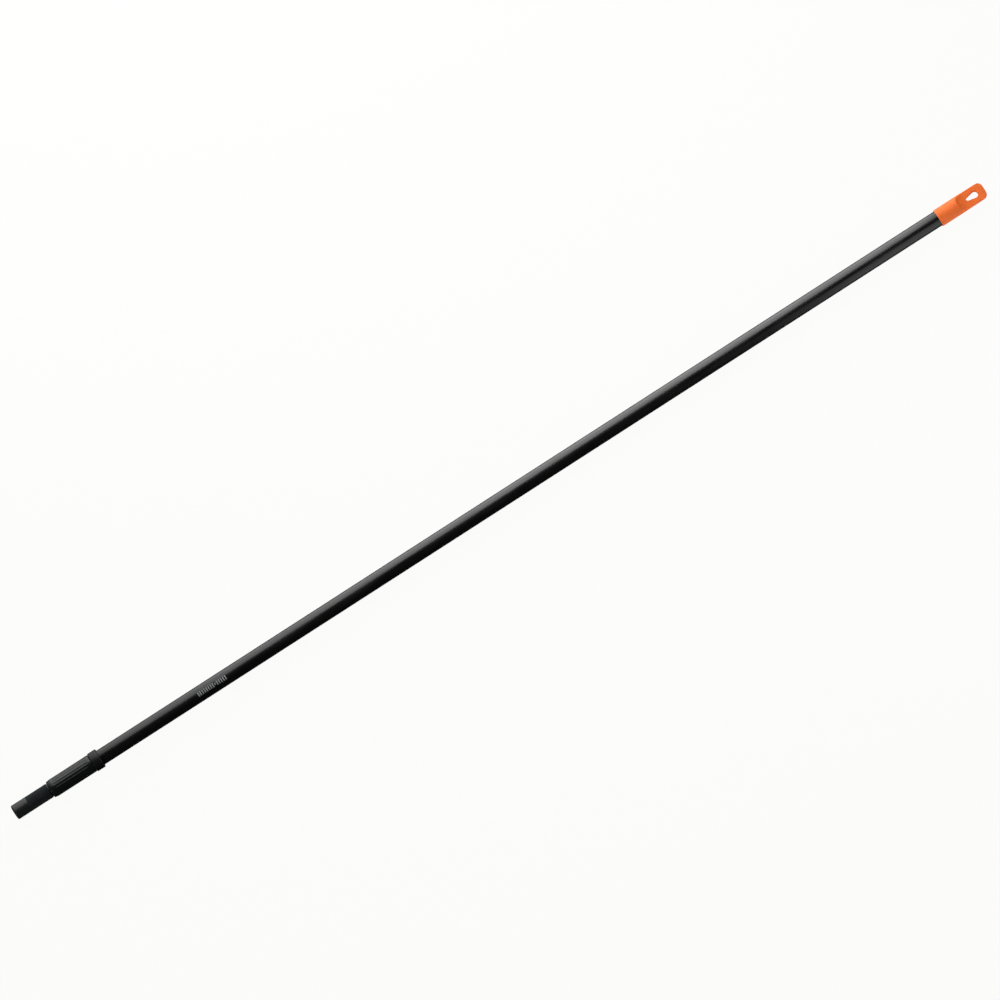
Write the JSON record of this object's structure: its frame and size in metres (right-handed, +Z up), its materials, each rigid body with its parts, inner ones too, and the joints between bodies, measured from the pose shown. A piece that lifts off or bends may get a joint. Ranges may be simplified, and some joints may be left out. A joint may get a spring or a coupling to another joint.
{
  "type": "roller extension pole",
  "caption": "Telescopic steel pole with a twist lock, a spigot for a roller frame's handle at one end and a slotted hang cap at the other, shown closed.",
  "frame": {"origin": "on the pole's axis at the shoulder of the roller spigot, where the spigot's ribbed sleeve ends", "axes": "+X along the pole towards the hang cap, -X the way a roller frame's handle leaves the spigot, +Z up, square to the hang cap's flat tab and along its slot's axis"},
  "size_m": [1.5561, 0.0276, 0.0276],
  "materials": {
    "tube_steel": "drawn, zinc-plated",
    "black_skin": "satin, extruded",
    "pale_print": "printed film",
    "orange_moulding": "satin, moulded",
    "black_moulding": "moulded, fine grain",
    "grip_moulding": "moulded, fine grain",
    "spigot_sleeve": "matt, ribbed",
    "nose_moulding": "satin, moulded",
    "natural_nylon": "moulded",
    "pin_steel": "drawn wire",
    "felt": "pressed felt"
  },
  "bodies": {
    "hand_section": {"outer_tube": "tube_steel", "outer_coating": "black_skin", "printed_mark": "pale_print", "hang_cap": "orange_moulding", "lock_base": "black_moulding", "base_pins": "pin_steel", "mouth_bush": "natural_nylon"},
    "wedge": {"wedge_ring": "natural_nylon"},
    "grip_nut": {"lock_nut": "grip_moulding", "nut_clip": "pin_steel", "wiper_ring": "felt"},
    "slide_ring": {"guide_ring": "natural_nylon"},
    "sliding_section": {"inner_tube": "tube_steel", "inner_coating": "black_skin", "nose_plug": "nose_moulding", "spigot_sleeve": "spigot_sleeve", "nose_pin": "pin_steel", "end_plug": "natural_nylon", "plug_pin": "pin_steel"}
  },
  "joints": [
    {"name": "wedge_slide", "type": "slide", "parent": "hand_section", "child": "wedge", "axis": [-1, 0, 0], "range_m": [0, 0.003]},
    {"name": "nut_turn", "type": "hinge", "parent": "wedge", "child": "grip_nut", "pos_m": [0.035, 0, 0], "axis": [-1, 0, 0], "range_deg": [0, 180]},
    {"name": "section_slide", "type": "slide", "parent": "hand_section", "child": "slide_ring", "axis": [-1, 0, 0], "range_m": [0, 1.2395]},
    {"name": "section_turn", "type": "hinge", "parent": "slide_ring", "child": "sliding_section", "pos_m": [1.35, 0, 0], "axis": [-1, 0, 0], "continuous": true}
  ],
  "couplings": [
    {"joint": "wedge_slide", "follows": "nut_turn", "m_per_rad": 0.00095492}
  ]
}
